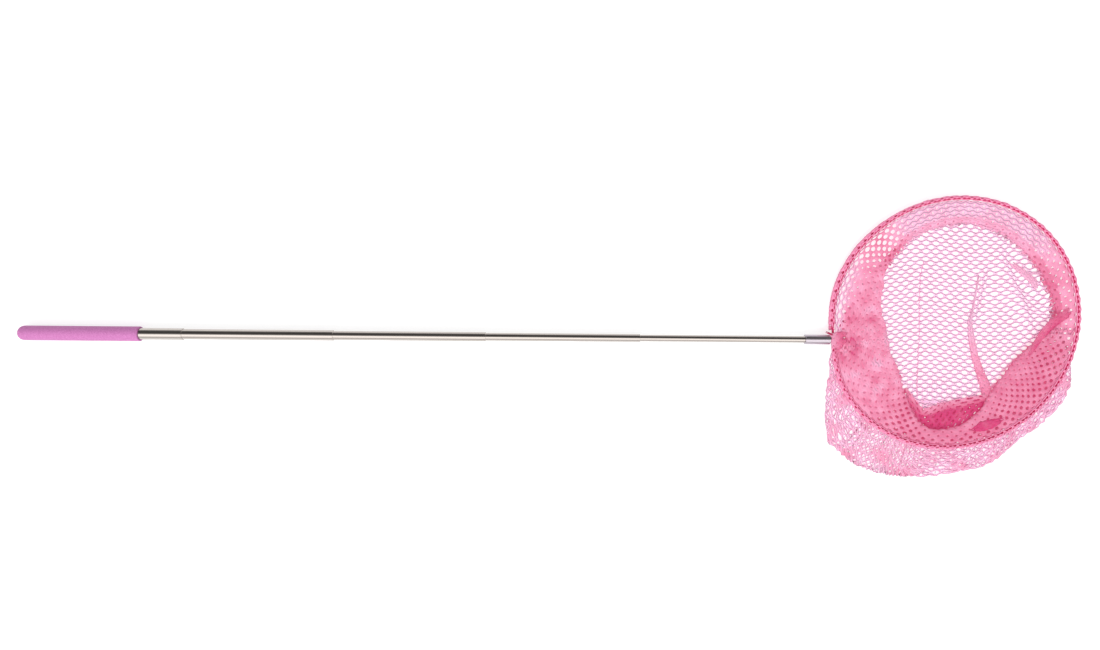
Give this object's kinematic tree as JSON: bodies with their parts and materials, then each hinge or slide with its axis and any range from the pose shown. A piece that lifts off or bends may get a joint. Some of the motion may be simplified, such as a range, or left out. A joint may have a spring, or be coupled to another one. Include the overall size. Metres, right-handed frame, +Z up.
{
  "type": "telescopic fish scoop net",
  "caption": "Hand net with a telescopic steel pole, a plastic grip and an oval wire hoop that carries a soft knitted mesh bag, laid flat",
  "frame": {"origin": "on the table, under the middle of the net's bounding box as it lies flat with the pole drawn out", "axes": "+X along the pole from the grip to the hoop, +Z up out of the hoop's mouth, -Y the side to which the bag's fullness lies"},
  "size_m": [0.8646, 0.231, 0.012],
  "materials": {
    "grip_plastic": "moulded, fine grain",
    "pole_steel": "polished drawn tube",
    "brass": "turned",
    "spring_steel": "rolled strip",
    "ferrule_aluminium": "satin, turned",
    "white_plastic": "moulded",
    "hoop_wire": "coated steel wire",
    "hem_net": "knitted nylon, doubled",
    "net_mesh": "knitted nylon mesh",
    "thread": "twisted nylon sewing thread"
  },
  "bodies": {
    "handle": {"grip_sleeve": "grip_plastic", "butt_plug": "white_plastic", "pole_tube_1": "pole_steel"},
    "spring_2": {"friction_spring_2": "spring_steel"},
    "section_2": {"pole_tube_2": "pole_steel", "base_bush_2": "brass"},
    "spring_3": {"friction_spring_3": "spring_steel"},
    "section_3": {"pole_tube_3": "pole_steel", "base_bush_3": "brass"},
    "spring_4": {"friction_spring_4": "spring_steel"},
    "section_4": {"pole_tube_4": "pole_steel", "base_bush_4": "brass"},
    "spring_5": {"friction_spring_5": "spring_steel"},
    "head": {"pole_tube_5": "pole_steel", "base_bush_5": "brass", "ferrule": "ferrule_aluminium", "ferrule_plug": "white_plastic", "hoop_wire": "hoop_wire", "hem_sleeve": "hem_net", "hem_stitching": "thread", "gather_tie": "thread", "net_upper_panel": "net_mesh", "net_lower_panel": "net_mesh", "bag_seam": "net_mesh"}
  },
  "joints": [
    {"name": "slide_2", "type": "slide", "parent": "handle", "child": "spring_2", "axis": [1, 0, 0], "range_m": [-0.1169, 0]},
    {"name": "twist_2", "type": "hinge", "parent": "spring_2", "child": "section_2", "pos_m": [-0.30441, -0.0031, 0.006], "axis": [1, 0, 0], "continuous": true},
    {"name": "slide_3", "type": "slide", "parent": "section_2", "child": "spring_3", "axis": [1, 0, 0], "range_m": [-0.118, 0]},
    {"name": "twist_3", "type": "hinge", "parent": "spring_3", "child": "section_3", "pos_m": [-0.18211, -0.0031, 0.006], "axis": [1, 0, 0], "continuous": true},
    {"name": "slide_4", "type": "slide", "parent": "section_3", "child": "spring_4", "axis": [1, 0, 0], "range_m": [-0.1196, 0]},
    {"name": "twist_4", "type": "hinge", "parent": "spring_4", "child": "section_4", "pos_m": [-0.05821, -0.0031, 0.006], "axis": [1, 0, 0], "continuous": true},
    {"name": "slide_5", "type": "slide", "parent": "section_4", "child": "spring_5", "axis": [1, 0, 0], "range_m": [-0.1212, 0]},
    {"name": "twist_5", "type": "hinge", "parent": "spring_5", "child": "head", "pos_m": [0.06729, -0.0031, 0.006], "axis": [1, 0, 0], "continuous": true}
  ]
}
